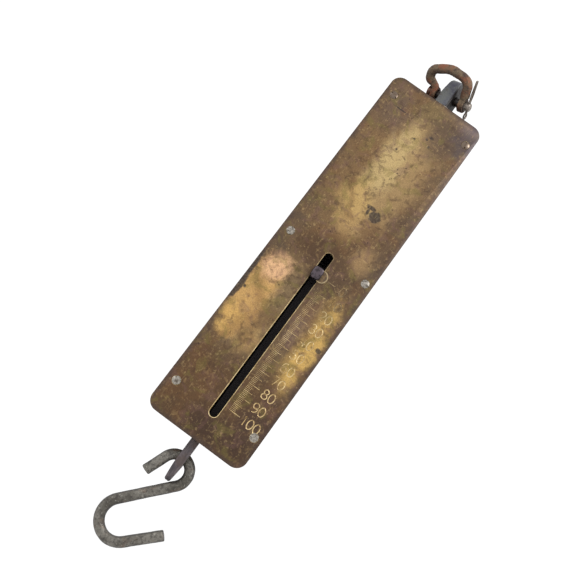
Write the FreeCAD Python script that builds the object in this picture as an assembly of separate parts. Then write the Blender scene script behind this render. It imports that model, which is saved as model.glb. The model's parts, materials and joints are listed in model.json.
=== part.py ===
import FreeCAD, Part
import math
import os

# Hanging spring scale with an engraved brass face, all sizes in millimetres.
# The model is built round the swivel: Z is the swivel axis, the shackle pin crosses it at the origin,
# the face looks along -Y. The finished pieces are then moved so that the origin is the hanging point,
# the inside of the shackle's crown.

V = FreeCAD.Vector
X_AXIS = V(1, 0, 0)
Y_AXIS = V(0, 1, 0)
Z_AXIS = V(0, 0, 1)
CENTRE = V(0, 0, 0)

# Driving dimensions -------------------------------------------------------------------------------

FACE_WIDTH = 70.0
FACE_HEIGHT = 272.0
FACE_SHIFT = -2.2              # the face's middle stands this far from the swivel axis
FACE_CORNER = 7.2
SHEET = 1.6                    # face and back sheet
CASE_DEPTH = 25.0
PIN_ABOVE_CASE = 12.8          # height of the shackle pin over the case's top edge

RAIL_WIDTH = 7.0
RAIL_CORNER = 5.6              # keeps rails and back sheet behind the face's round corners
SCREW_PITCH = 58.1             # left to right screw row
SCREW_SHIFT = 0.75             # the screw rows stand this far from the face's middle
SCREW_ROWS = (14.8, 132.6, 250.4)   # below the top edge
SCREW_SHANK = 1.6              # radius
SCREW_HEAD = 2.75              # radius
SCREW_LENGTH = 9.0
SCREW_CONE = 1.25              # height of the countersunk part
SCREW_DOME = 8.0               # radius of the raised head
SCREW_SLOT = 0.7               # width of the driver slot
SCREW_SLOT_DEPTH = 0.35

BLOCK_HEIGHT = 16.0            # top and bottom block

SCALE_STEP = 1.0               # millimetres for each unit of load
SCALE_UNITS = 100
ZERO_BELOW_TOP = 145.6
SLOT_SHIFT = -0.8
SLOT_WIDTH = 5.9
SLOT_TOP = 129.5               # below the top edge
SLOT_BOTTOM = 255.3
TICK_START = 5.4               # ticks run to the right from here
TICK_ENDS = {1: 9.3, 5: 11.6, 10: 13.3}
TICK_WIDTH = 0.25
TICK_DEPTH = 0.2

WIRE = 3.4                     # shackle bar radius
BOW_CORNERS = (                # the bar's centre line: along the pin, away from the pin, bend radius
    (11.2, 16.9, 6.2),
    (-3.4, 20.4, 14.0),
    (-16.7, 16.2, 5.2),
    (-17.9, 10.0, 3.8),
    (-12.6, 4.8, 5.0),
)
FOOT_AT = 11.0                 # pin's middle to the middle of each foot
FOOT_THICK = 4.4
FOOT_RADIUS = 5.2
FOOT_TAPER = 3.5               # length over which the bar is hammered flat
SHACKLE_LEAN = 55.0            # degrees, forward about the pin
SWIVEL_TURN = -23.0            # degrees about Z
PIN_RADIUS = 3.0
PIN_HEAD_RADIUS = 4.3
PIN_HEAD_THICK = 2.2
PIN_END = 17.0                 # from the pin's middle
PIN_CHAMFER = 0.6
COTTER_AT = 15.4
COTTER_WIRE = 0.6              # radius of each leg
COTTER_LEG = 18.0
COTTER_ROOT = 4.2              # pin axis to where the ring begins
COTTER_RING = 2.0
COTTER_HOLE = 1.26             # radius of the pin's cross hole
COTTER_SPREAD = 0.7            # each leg stands out this far half-way
COTTER_TURN = -10.0            # degrees, the cotter leans a little back from the bow

EYE_THICK = 10.5               # tongue of the swivel, along the pin
EYE_WIDTH = 14.0
EYE_TOP = 14.6                 # pin axis to the top of the tongue
EYE_TOP_THICK = 7.2            # the tongue thins towards its top
EYE_EDGE = 0.9
SHANK_RADIUS = 4.6
COLLAR_RADIUS = 7.4
COLLAR_HEIGHT = 6.5
COLLAR_PIN_RADIUS = 1.23
SHANK_BELOW_COLLAR = 1.6
WASHER_THICK = 1.4
WASHER_RADIUS = 10.5
RUNNING = 0.08                 # radial clearance of turning fits
PRESSED = 0.02                 # clearance of parts that are pressed or riveted together
GAP = 0.25                     # clearance of sliding faces
HOLE_ROOM = 0.1                # screw holes are this much larger than the screws
SQUARE = 0.99                  # an edge runs along an axis when its direction has this much of it
NEAR = 0.01                    # places this close count as the same

SPRING_AT = 13.0               # spring axis from the swivel axis
SPRING_WIRE = 2.4              # diameter
SPRING_LOOP = 6.0              # mean radius of the end loops
RIB_VALLEY = 0.306             # depth of the wall where two coils touch, either side of its middle
SPRING_BRIDGE = 1.0            # radius where the wire crosses from the coils to an end loop
STEEL_SHEAR_MODULUS = 79000.0  # N/mm2
FULL_LOAD = 444.8              # N at the last graduation, if the numbers are pounds
HANGER_WIDTH = 9.6
HANGER_THICK = 4.0
HANGER_TOP = 5.0               # below the top edge of the case
HANGER_PIN_AT = 10.5           # below the top edge of the case
HANGER_PIN_RADIUS = 1.5
HANGER_PIN_RECESS = 0.3
HOLE_EDGE = 4.8                # hook hole to the edge of hanger or crosshead
HOLE_RADIUS = 1.7

CROSSHEAD_WIDTH = 38.0
CROSSHEAD_HEIGHT = 14.0
CROSSHEAD_CORNER = 3.0
RIVET_RADIUS = 1.2
RIVET_AT = 4.2                 # above and below the crosshead's middle
BUSH_WALL = 2.5
BAR_THICK = 5.5
BAR_DEPTH = 12.0
TONGUE_LENGTH = 28.8           # drawbar below the case
TONGUE_TAPER = 17.5            # below the case, where the tongue begins to thin
TONGUE_TIP = 3.6               # thickness at the tapered tip
TIP_CHAMFER = 0.8
EYE_HOLE_RADIUS = 4.2
EYE_HOLE_AT = 12.3             # below the case
POINTER_WIDTH = 7.0
POINTER_HEIGHT = 8.4
POINTER_THICK = 2.6
POINTER_GAP = 0.5              # pointer head over the face
POINTER_CORNER = 2.2
POINTER_ROUND = 1.2            # cushioned front edge
STEM_WIDTH = 3.8
STEM_HEIGHT = 5.0
INDEX_RADIUS = 4.3
INDEX_SHIFT = 3.6              # leaf's centre to the right of the slot's

HOOK_WIRE = 3.45               # radius
HOOK_END_ROUND = 0.8
HOOK_TOP_BEND = 9.5
HOOK_LOW_BEND = 12.6
HOOK_CENTRE_DROP = 21.6        # upper bend's centre below the case
HOOK_LOW_X = -7.8              # lower bend's centre from the upper one
HOOK_LOW_Z = -41.1
HOOK_TOP_TAIL = 14.4
HOOK_LOW_TAIL = 24.3
HOOK_TOP_LEAVE = 159.0         # degrees, where the upper tail leaves its bend
HOOK_LOW_LEAVE = -46.0

# Derived places -----------------------------------------------------------------------------------

CASE_TOP = -PIN_ABOVE_CASE
CASE_BOTTOM = CASE_TOP - FACE_HEIGHT
FRONT = -CASE_DEPTH / 2
BACK = CASE_DEPTH / 2
INNER_FRONT = FRONT + SHEET
INNER_BACK = BACK - SHEET
FACE_LEFT = FACE_SHIFT - FACE_WIDTH / 2
SCREW_X = [FACE_SHIFT + SCREW_SHIFT + side * SCREW_PITCH / 2 for side in (-1, 1)]
SCREW_Z = [CASE_TOP - row for row in SCREW_ROWS]
BAY_LEFT = SCREW_X[0] + RAIL_WIDTH / 2
BAY_RIGHT = SCREW_X[1] - RAIL_WIDTH / 2
POINTER_Z = CASE_TOP - ZERO_BELOW_TOP
HANGER_DROP = 8.0              # from the top block's underside to a hanger's spring hole
HANGER_HOLE_Z = CASE_TOP - BLOCK_HEIGHT - HANGER_DROP
CROSSHEAD_TOP = POINTER_Z + CROSSHEAD_HEIGHT / 2
CROSSHEAD_HOLE_Z = CROSSHEAD_TOP - HOLE_EDGE
SPRING_TOP = HANGER_HOLE_Z - 2 * SPRING_LOOP + SPRING_WIRE / 2
SPRING_BOTTOM = CROSSHEAD_HOLE_Z + 2 * SPRING_LOOP - SPRING_WIRE / 2
COIL_COUNT = int((SPRING_TOP - SPRING_BOTTOM) / SPRING_WIRE)
SPRING_RATE = FULL_LOAD / (SCALE_UNITS * SCALE_STEP) / 2
COIL_RADIUS = (STEEL_SHEAR_MODULUS * SPRING_WIRE**4 / (8 * SPRING_RATE * COIL_COUNT)) ** (1 / 3) / 2
HOOK_Z = CASE_BOTTOM - HOOK_CENTRE_DROP


# Helpers ------------------------------------------------------------------------------------------

def box(low, high):
    """A box from its lowest to its highest corner."""
    return Part.makeBox(high[0] - low[0], high[1] - low[1], high[2] - low[2], V(*low))


def rod(start, end, radius):
    """A round bar from start to end."""
    run = end - start
    return Part.makeCylinder(radius, run.Length, start, run)


def join(pieces):
    """One solid from pieces that meet."""
    whole = pieces[0].multiFuse(pieces[1:])
    return whole.removeSplitter()


def drill(shape, tools):
    """The shape without the tools."""
    return shape.cut(Part.makeCompound(tools))


def prism(points, thickness_vector):
    """A closed outline of straight runs, made solid along a vector."""
    face = Part.Face(Part.makePolygon(list(points) + [points[0]]))
    return face.extrude(thickness_vector)


def swept_bar(edges, radius):
    """A round bar along tangent runs and arcs, given in order from its start."""
    path = Part.Wire(edges)
    start = edges[0].valueAt(edges[0].FirstParameter)
    along = edges[0].tangentAt(edges[0].FirstParameter)
    section = Part.Wire(Part.makeCircle(radius, start, along))
    return path.makePipeShell([section], True, True)


def bend(centre, radius, start_angle, end_angle):
    """An arc in an XZ plane through centre, between two angles in degrees from +X towards +Z."""
    def at(angle):
        turn = math.radians(angle)
        return centre + V(radius * math.cos(turn), 0, radius * math.sin(turn))
    return Part.Arc(at(start_angle), at((start_angle + end_angle) / 2), at(end_angle)).toShape()


def rounded_face(left, right, bottom, top, corner, front, thickness):
    """A sheet across XZ with four round corners."""
    sheet = box((left, front, bottom), (right, front + thickness, top))
    edges = [e for e in sheet.Edges if abs(e.tangentAt(e.FirstParameter).y) > SQUARE]
    return sheet.makeFillet(corner, edges)


def slot_tool(centre_x, bottom, top, width, front, depth):
    """The round-ended bar that cuts a slot through along Y."""
    radius = width / 2
    low = bottom + radius
    high = top - radius
    pieces = [box((centre_x - radius, front, low), (centre_x + radius, front + depth, high))]
    for z in (low, high):
        pieces.append(Part.makeCylinder(radius, depth, V(centre_x, front, z), Y_AXIS))
    return join(pieces)


def on_swivel(shape):
    """Turns a piece of the swivel or shackle about Z to where the swivel stands."""
    shape.rotate(CENTRE, Z_AXIS, SWIVEL_TURN)
    return shape


def on_shackle(shape):
    """Leans a piece of the shackle forward about its pin."""
    shape.rotate(CENTRE, X_AXIS, SHACKLE_LEAN)
    return on_swivel(shape)


# Shackle ------------------------------------------------------------------------------------------

def rounded_route(start, corners, end):
    """Straight runs through corners given as (x, z, bend radius), joined by tangent arcs."""
    points = [start] + [V(x, 0, z) for x, z, _ in corners] + [end]
    edges = []
    place = start
    for before, corner, after, (_, _, radius) in zip(points, points[1:], points[2:], corners):
        arriving = (corner - before).normalize()
        leaving = (after - corner).normalize()
        half_turn = arriving.getAngle(leaving) / 2
        reach = radius * math.tan(half_turn)
        bend_start = corner - arriving * reach
        bend_end = corner + leaving * reach
        inward = (leaving - arriving).normalize()
        bend_middle = corner + inward * radius * (1 / math.cos(half_turn) - 1)
        edges.append(Part.makeLine(place, bend_start))
        edges.append(Part.Arc(bend_start, bend_middle, bend_end).toShape())
        place = bend_end
    edges.append(Part.makeLine(place, end))
    return edges


def flattening_tools(side):
    """What the hammer takes off both sides of a foot, fading out up the leg."""
    outer = FOOT_AT + FOOT_THICK / 2
    inner = FOOT_AT - FOOT_THICK / 2
    depth = 2 * FOOT_RADIUS
    low = -2 * FOOT_RADIUS
    high = FOOT_RADIUS + FOOT_TAPER
    tools = []
    for face, beyond in ((outer, 3 * FOOT_AT), (inner, 0)):
        outline = [V(side * face, -depth, low), V(side * face, -depth, FOOT_RADIUS),
                   V(side * beyond, -depth, high), V(side * beyond, -depth, low)]
        tools.append(prism(outline, V(0, 2 * depth, 0)))
    return tools


def shackle_bow():
    """A bar bent round an uneven crown, its two ends flattened into feet with a hole for the pin."""
    feet = [V(side * FOOT_AT, 0, 0) for side in (1, -1)]
    pieces = [swept_bar(rounded_route(feet[0], BOW_CORNERS, feet[1]), WIRE)]
    tools = [rod(feet[0] * 2, feet[1] * 2, PIN_RADIUS + RUNNING)]
    for foot, side in zip(feet, (1, -1)):
        half = X_AXIS * FOOT_THICK / 2
        pieces.append(rod(foot - half, foot + half, FOOT_RADIUS))
        tools += flattening_tools(side)
    return on_shackle(drill(join(pieces), tools))


def shackle_pin():
    """A headed pin, drilled near its free end for the cotter."""
    head_end = -FOOT_AT - FOOT_THICK / 2 - GAP
    head_start = head_end - PIN_HEAD_THICK
    head = rod(V(head_start, 0, 0), V(head_end, 0, 0), PIN_HEAD_RADIUS)
    stem = rod(V(head_end - 1, 0, 0), V(PIN_END, 0, 0), PIN_RADIUS)
    end_edges = [e for e in stem.Edges if e.Closed and abs(e.CenterOfMass.x - PIN_END) < NEAR]
    stem = stem.makeChamfer(PIN_CHAMFER, end_edges)
    hole = rod(V(COTTER_AT, 0, -2 * PIN_RADIUS), V(COTTER_AT, 0, 2 * PIN_RADIUS), COTTER_HOLE)
    hole.rotate(CENTRE, X_AXIS, COTTER_TURN)
    return on_shackle(drill(join([head, stem]), [hole]))


def cotter_pin():
    """A split pin: a ring at one end and two round legs, sprung a little apart past the pin."""
    leg_shift = COTTER_WIRE + PRESSED
    pieces = []
    for side in (-1, 1):
        foot = V(COTTER_AT, side * leg_shift, -COTTER_ROOT)
        knee = V(COTTER_AT, side * leg_shift, PIN_RADIUS + COTTER_WIRE)
        belly = V(COTTER_AT, side * (leg_shift + COTTER_SPREAD), COTTER_LEG / 2)
        tip = V(COTTER_AT, side * leg_shift, COTTER_LEG)
        for start, end in ((foot, knee), (knee, belly), (belly, tip)):
            pieces.append(rod(start, end, COTTER_WIRE))
            pieces.append(Part.makeSphere(COTTER_WIRE, end))
    ring_centre = V(COTTER_AT, 0, -COTTER_ROOT - COTTER_RING)
    ring = Part.makeTorus(COTTER_RING, COTTER_WIRE, ring_centre, X_AXIS)
    root = V(COTTER_AT, 0, -COTTER_ROOT)
    bridge_half = V(0.8, 1.5, 0.7) * COTTER_WIRE
    bridge = box(root - bridge_half, root + bridge_half)
    cotter = join(pieces + [ring, bridge])
    cotter.rotate(CENTRE, X_AXIS, COTTER_TURN)
    return on_shackle(cotter)


# Swivel -------------------------------------------------------------------------------------------

def swivel_eye():
    """A forged tongue, thinner towards its round top, with a cross hole, on a turned shank."""
    base = CASE_TOP + WASHER_THICK + RUNNING
    half_width = EYE_WIDTH / 2
    crown_z = EYE_TOP - half_width
    profile = join([
        box((-EYE_THICK, -half_width, base), (EYE_THICK, half_width, crown_z)),
        rod(V(-EYE_THICK, 0, crown_z), V(EYE_THICK, 0, crown_z), half_width)])
    side = EYE_THICK / 2
    top_side = EYE_TOP_THICK / 2
    front = [V(-side, -EYE_WIDTH, base), V(side, -EYE_WIDTH, base), V(side, -EYE_WIDTH, PIN_RADIUS),
             V(top_side, -EYE_WIDTH, EYE_TOP + 1), V(-top_side, -EYE_WIDTH, EYE_TOP + 1),
             V(-side, -EYE_WIDTH, PIN_RADIUS)]
    body = profile.common(prism(front, V(0, 2 * EYE_WIDTH, 0)))
    rim = [e for e in body.Edges
           if abs(e.tangentAt(e.FirstParameter).x) < 0.5 and e.BoundBox.ZMax > base + NEAR]
    body = body.makeChamfer(EYE_EDGE, rim)
    shank_end = CASE_TOP - BLOCK_HEIGHT - COLLAR_HEIGHT - SHANK_BELOW_COLLAR
    shank = rod(V(0, 0, base + 1), V(0, 0, shank_end), SHANK_RADIUS)
    cross = rod(V(-EYE_WIDTH, 0, 0), V(EYE_WIDTH, 0, 0), PIN_RADIUS + RUNNING)
    return on_swivel(drill(join([body, shank]), [cross, lock_rod(COLLAR_RADIUS, PRESSED)]))


def lock_rod(half_length, clearance):
    """The pin that crosses collar and shank, or with a clearance its hole."""
    z = CASE_TOP - BLOCK_HEIGHT - GAP - COLLAR_HEIGHT / 2
    return rod(V(-half_length, 0, z), V(half_length, 0, z), COLLAR_PIN_RADIUS + clearance)


def swivel_collar():
    """The round collar under the top block that carries the case on the swivel's shank."""
    top = CASE_TOP - BLOCK_HEIGHT - GAP
    collar = rod(V(0, 0, top - COLLAR_HEIGHT), V(0, 0, top), COLLAR_RADIUS)
    bore = rod(V(0, 0, top + 1), V(0, 0, top - COLLAR_HEIGHT - 1), SHANK_RADIUS + PRESSED)
    return on_swivel(drill(collar, [bore, lock_rod(COLLAR_RADIUS + 1, PRESSED)]))


def collar_pin():
    """The cross pin through collar and shank."""
    return on_swivel(lock_rod(COLLAR_RADIUS - GAP, 0.0))


def swivel_washer():
    """The thrust washer between the swivel's tongue and the top block."""
    low = V(0, 0, CASE_TOP)
    high = V(0, 0, CASE_TOP + WASHER_THICK)
    bore = rod(low - Z_AXIS, high + Z_AXIS, SHANK_RADIUS + RUNNING)
    return drill(rod(low, high, WASHER_RADIUS), [bore])


# Case ---------------------------------------------------------------------------------------------

def screw_points():
    """The (x, z) places of the six face screws, and of the six back screws behind them."""
    return [(x, z) for z in SCREW_Z for x in SCREW_X]


def graduation_grooves():
    """One shallow groove for each unit of load, longer at each five and each ten."""
    grooves = []
    for unit in range(SCALE_UNITS + 1):
        length_key = 10 if unit % 10 == 0 else 5 if unit % 5 == 0 else 1
        z = POINTER_Z - unit * SCALE_STEP
        low = (TICK_START, FRONT - 1, z - TICK_WIDTH / 2)
        high = (TICK_ENDS[length_key], FRONT + TICK_DEPTH, z + TICK_WIDTH / 2)
        grooves.append(box(low, high))
    return grooves


def front_plate():
    """The brass face: pointer slot, graduations and countersunk screw holes."""
    sheet = rounded_face(FACE_LEFT, FACE_LEFT + FACE_WIDTH, CASE_BOTTOM, CASE_TOP, FACE_CORNER, FRONT, SHEET)
    slot = slot_tool(SLOT_SHIFT, CASE_TOP - SLOT_BOTTOM, CASE_TOP - SLOT_TOP, SLOT_WIDTH,
                     FRONT - 1, SHEET + 2)
    holes = []
    for x, z in screw_points():
        holes += countersunk_hole(V(x, FRONT, z), Y_AXIS)
    return drill(sheet, [slot] + holes + graduation_grooves())


def countersunk_hole(place, inward):
    """What a drill and a countersink take out of a sheet, from its outer face inward."""
    hole = rod(place - inward, place + inward * (SHEET + 1), SCREW_SHANK + HOLE_ROOM)
    sink = Part.makeCone(SCREW_HEAD + HOLE_ROOM, SCREW_SHANK + HOLE_ROOM / 2, SCREW_CONE + HOLE_ROOM / 2,
                         place, inward)
    return [hole, sink]


def driver_slot(place, turn):
    """The bar that cuts a driver slot through a screw's head."""
    reach = SCREW_HEAD + 1
    half = SCREW_SLOT / 2
    slot = box((place.x - reach, place.y - SCREW_SLOT_DEPTH, place.z - half),
               (place.x + reach, place.y + SCREW_SLOT_DEPTH, place.z + half))
    slot.rotate(place, Y_AXIS, turn)
    return slot


def countersunk_screw(place, inward):
    """The cone and shank of a screw, from its outer face inward."""
    cone = Part.makeCone(SCREW_HEAD, SCREW_SHANK, SCREW_CONE, place, inward)
    shank = rod(place + inward, place + inward * SCREW_LENGTH, SCREW_SHANK)
    return [cone, shank]


def raised_screw(x, z, turn):
    """A face screw: countersunk, with a low raised head."""
    place = V(x, FRONT, z)
    drop = math.sqrt(SCREW_DOME**2 - SCREW_HEAD**2)
    dome = Part.makeSphere(SCREW_DOME, place + Y_AXIS * drop)
    head = dome.common(rod(place - Y_AXIS, place + Y_AXIS * PRESSED, SCREW_HEAD))
    return drill(join(countersunk_screw(place, Y_AXIS) + [head]), [driver_slot(place, turn)])


def face_screws():
    """Six slotted screws through the brass face, each left at its own angle."""
    turns = (25, 70, -35, 10, 50, -20)
    return [raised_screw(x, z, turn) for (x, z), turn in zip(screw_points(), turns)]


def flush_screw(x, z, turn):
    """A back screw, its head just below the sheet's surface."""
    place = V(x, BACK - HOLE_ROOM, z)
    return drill(join(countersunk_screw(place, -Y_AXIS)), [driver_slot(place, turn)])


def back_screws():
    """Six slotted screws through the steel back, each left at its own angle."""
    turns = (15, -40, 60, 5, -65, 30)
    return [flush_screw(x, z, turn) for (x, z), turn in zip(screw_points(), turns)]


def back_plate():
    """The steel back, which carries the scale when it lies down."""
    left = SCREW_X[0] - RAIL_WIDTH / 2
    right = SCREW_X[1] + RAIL_WIDTH / 2
    sheet = rounded_face(left, right, CASE_BOTTOM, CASE_TOP, RAIL_CORNER, INNER_BACK, SHEET)
    holes = []
    for x, z in screw_points():
        holes += countersunk_hole(V(x, BACK, z), -Y_AXIS)
    return drill(sheet, holes)


def side_rail(screw_x):
    """A side bar between face and back, tapped for both rows of screws."""
    half = RAIL_WIDTH / 2
    rail = box((screw_x - half, INNER_FRONT, CASE_BOTTOM), (screw_x + half, INNER_BACK, CASE_TOP))
    outer_x = screw_x + math.copysign(half, screw_x)
    ends = [e for e in rail.Edges
            if abs(e.tangentAt(e.FirstParameter).y) > SQUARE and abs(e.CenterOfMass.x - outer_x) < NEAR]
    rail = rail.makeFillet(RAIL_CORNER, ends)
    holes = [rod(V(screw_x, FRONT, z), V(screw_x, BACK, z), SCREW_SHANK + PRESSED) for z in SCREW_Z]
    return drill(rail, holes)


def top_block():
    """The cast head between the rails, bored for the swivel and slotted for the spring hangers."""
    low = (BAY_LEFT, INNER_FRONT, CASE_TOP - BLOCK_HEIGHT)
    block = box(low, (BAY_RIGHT, INNER_BACK, CASE_TOP))
    bore = rod(V(0, 0, CASE_TOP + 1), V(0, 0, CASE_TOP - BLOCK_HEIGHT - 1), SHANK_RADIUS + RUNNING)
    tools = [bore]
    for side in (-1, 1):
        tools.append(hanger_blank(side, 0.0))
        tools.append(hanger_pin(side, PRESSED))
    return drill(block, tools)


def hanger_blank(side, clearance):
    """The outline of one hanger: its upper part sits in the top block."""
    half = HANGER_WIDTH / 2 + clearance
    x = side * SPRING_AT
    thick = HANGER_THICK / 2 + clearance
    return box((x - half, -thick, HANGER_HOLE_Z - HOLE_EDGE), (x + half, thick, CASE_TOP - HANGER_TOP))


def hanger_pin(side, clearance):
    """The pin that holds one hanger in the top block, or its hole when there is clearance."""
    x = side * SPRING_AT
    z = CASE_TOP - HANGER_PIN_AT
    start = V(x, INNER_FRONT + HANGER_PIN_RECESS, z)
    end = V(x, INNER_BACK - HANGER_PIN_RECESS, z)
    return rod(start, end, HANGER_PIN_RADIUS + clearance)


def hanger_pins():
    """Both hangers' pins."""
    return [hanger_pin(side, 0.0) for side in (-1, 1)]


def spring_hanger(side):
    """A steel lug pinned into the top block, with the hole that the spring's upper loop hangs in."""
    lug = hanger_blank(side, -PRESSED)
    return drill(lug, [spring_hole(side, HANGER_HOLE_Z), hanger_pin(side, PRESSED)])


def spring_hole(side, z):
    """The hole that a spring's end loop hangs in."""
    x = side * SPRING_AT
    return rod(V(x, -HANGER_THICK, z), V(x, HANGER_THICK, z), HOLE_RADIUS)


def bottom_block():
    """The lower block between the rails: it holds the guide bush and stops the crosshead at overload."""
    low = (BAY_LEFT, INNER_FRONT, CASE_BOTTOM)
    block = box(low, (BAY_RIGHT, INNER_BACK, CASE_BOTTOM + BLOCK_HEIGHT))
    return drill(block, [bush_outline(PRESSED)])


def bush_outline(clearance):
    """The bush's outside, or with a clearance its pocket, run a little past the block."""
    half_x = BAR_THICK / 2 + GAP + BUSH_WALL + clearance
    half_y = BAR_DEPTH / 2 + GAP + BUSH_WALL + clearance
    return box((-half_x, -half_y, CASE_BOTTOM - 1), (half_x, half_y, CASE_BOTTOM + BLOCK_HEIGHT + 1))


def guide_bush():
    """The brass sleeve that keeps the drawbar straight."""
    block_height = box((-CASE_DEPTH, -CASE_DEPTH, CASE_BOTTOM),
                       (CASE_DEPTH, CASE_DEPTH, CASE_BOTTOM + BLOCK_HEIGHT))
    sleeve = bush_outline(0.0).common(block_height)
    half_x = BAR_THICK / 2 + GAP
    half_y = BAR_DEPTH / 2 + GAP
    bore = box((-half_x, -half_y, CASE_BOTTOM - 2), (half_x, half_y, CASE_BOTTOM + BLOCK_HEIGHT + 2))
    return drill(sleeve, [bore])


# Springs ------------------------------------------------------------------------------------------

def coil_flank(wall, direction):
    """The ribs of one side of the coils' section, outside going up or inside going down."""
    length = COIL_COUNT * SPRING_WIRE
    bottom = (SPRING_TOP + SPRING_BOTTOM - length) / 2
    radius = SPRING_WIRE / 2
    valley = wall + direction * RIB_VALLEY
    ribs = []
    for number in range(COIL_COUNT):
        index = number if direction > 0 else COIL_COUNT - 1 - number
        middle = bottom + (index + 0.5) * SPRING_WIRE
        start = V(valley, 0, middle - direction * radius)
        crest = V(wall + direction * radius, 0, middle)
        end = V(valley, 0, middle + direction * radius)
        ribs.append(Part.Arc(start, crest, end).toShape())
    return ribs


def edge_start(edge):
    """The point that an edge starts from."""
    return edge.valueAt(edge.FirstParameter)


def edge_end(edge):
    """The point that an edge ends at."""
    return edge.valueAt(edge.LastParameter)


def extension_spring(side):
    """A close-wound extension spring: its coils as one ribbed tube, with a full loop at each end."""
    axis_x = side * SPRING_AT
    outside = coil_flank(COIL_RADIUS, 1)
    inside = coil_flank(COIL_RADIUS, -1)
    top = Part.makeLine(edge_end(outside[-1]), edge_start(inside[0]))
    bottom = Part.makeLine(edge_end(inside[-1]), edge_start(outside[0]))
    section = Part.Face(Part.Wire(outside + [top] + inside + [bottom]))
    coils = section.revolve(CENTRE, Z_AXIS, 360)
    coils.translate(V(axis_x, 0, 0))
    pieces = [coils]
    for hole_z, toward in ((HANGER_HOLE_Z, -1), (CROSSHEAD_HOLE_Z, 1)):
        loop_centre = V(axis_x, 0, hole_z + toward * SPRING_LOOP)
        pieces.append(Part.makeTorus(SPRING_LOOP, SPRING_WIRE / 2, loop_centre, X_AXIS))
        root = loop_centre + Z_AXIS * toward * SPRING_LOOP
        reach = Y_AXIS * COIL_RADIUS
        pieces.append(rod(root + reach, root - reach, SPRING_BRIDGE))
    return join(pieces)


# Drawbar ------------------------------------------------------------------------------------------

def crosshead():
    """The flat bar that both springs pull on."""
    half = CROSSHEAD_WIDTH / 2
    low = (-half, -HANGER_THICK / 2, CROSSHEAD_TOP - CROSSHEAD_HEIGHT)
    plate = box(low, (half, HANGER_THICK / 2, CROSSHEAD_TOP))
    corners = [e for e in plate.Edges if abs(e.tangentAt(e.FirstParameter).y) > SQUARE]
    plate = plate.makeFillet(CROSSHEAD_CORNER, corners)
    holes = [spring_hole(side, CROSSHEAD_HOLE_Z) for side in (-1, 1)]
    return drill(plate, holes + drawbar_rivets(PRESSED))


def drawbar_rivets(clearance):
    """The two rivets through fork and crosshead, or with a clearance their holes."""
    reach = BAR_DEPTH / 2
    places = [POINTER_Z + RIVET_AT, POINTER_Z - RIVET_AT]
    return [rod(V(0, -reach, z), V(0, reach, z), RIVET_RADIUS + clearance) for z in places]


def drawbar():
    """A flat bar forked over the crosshead, its lower end a tapered tongue with an eye."""
    half = BAR_THICK / 2
    depth = BAR_DEPTH / 2
    tip_z = CASE_BOTTOM - TONGUE_LENGTH
    straight_z = CASE_BOTTOM - TONGUE_TAPER
    tip_half = TONGUE_TIP / 2
    right_side = [(half, CROSSHEAD_TOP), (half, straight_z), (tip_half, tip_z + TIP_CHAMFER),
                  (tip_half - TIP_CHAMFER, tip_z)]
    left_side = [(-x, z) for x, z in reversed(right_side)]
    bar = prism([V(x, -depth, z) for x, z in right_side + left_side], V(0, BAR_DEPTH, 0))
    round_end = join([
        box((-half, -depth, tip_z + depth), (half, depth, CROSSHEAD_TOP)),
        rod(V(-half, 0, tip_z + depth), V(half, 0, tip_z + depth), depth)])
    bar = bar.common(round_end)
    slit = HANGER_THICK / 2 + PRESSED
    fork = box((-half - 1, -slit, CROSSHEAD_TOP - CROSSHEAD_HEIGHT), (half + 1, slit, CROSSHEAD_TOP + 1))
    eye_z = CASE_BOTTOM - EYE_HOLE_AT
    eye = rod(V(-BAR_THICK, 0, eye_z), V(BAR_THICK, 0, eye_z), EYE_HOLE_RADIUS)
    return drill(bar, [fork, eye] + drawbar_rivets(PRESSED))


def pointer():
    """The steel pointer: a stem from the drawbar out through the slot, and a cushioned head."""
    head_back = FRONT - POINTER_GAP
    head_front = head_back - POINTER_THICK
    head = box((SLOT_SHIFT - POINTER_WIDTH / 2, head_front, POINTER_Z - POINTER_HEIGHT / 2),
               (SLOT_SHIFT + POINTER_WIDTH / 2, head_back, POINTER_Z + POINTER_HEIGHT / 2))
    upright = [e for e in head.Edges if abs(e.tangentAt(e.FirstParameter).y) > SQUARE]
    head = head.makeFillet(POINTER_CORNER, upright)
    rim = [e for e in head.Edges if abs(e.BoundBox.YMax - head_front) < NEAR]
    head = head.makeFillet(POINTER_ROUND, rim)
    return join([head, pointer_stem(head_back, -BAR_DEPTH / 2, 0.0)])


def pointer_stem(front, back, clearance):
    """The pointer's stem between two depths, or with a clearance its hole."""
    half_width = STEM_WIDTH / 2 + clearance
    half_height = STEM_HEIGHT / 2 + clearance
    return box((SLOT_SHIFT - half_width, front, POINTER_Z - half_height),
               (SLOT_SHIFT + half_width, back, POINTER_Z + half_height))


def pointer_index():
    """The thin brass leaf behind the pointer's head, which reaches over the graduations."""
    leaf_front = FRONT - POINTER_GAP + PRESSED
    centre = V(SLOT_SHIFT + INDEX_SHIFT, leaf_front, POINTER_Z)
    leaf = Part.makeCylinder(INDEX_RADIUS, 0.4 * POINTER_GAP, centre, Y_AXIS)
    return drill(leaf, [pointer_stem(FRONT - 2, FRONT + 2, PRESSED)])


# Hook ---------------------------------------------------------------------------------------------

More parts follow.
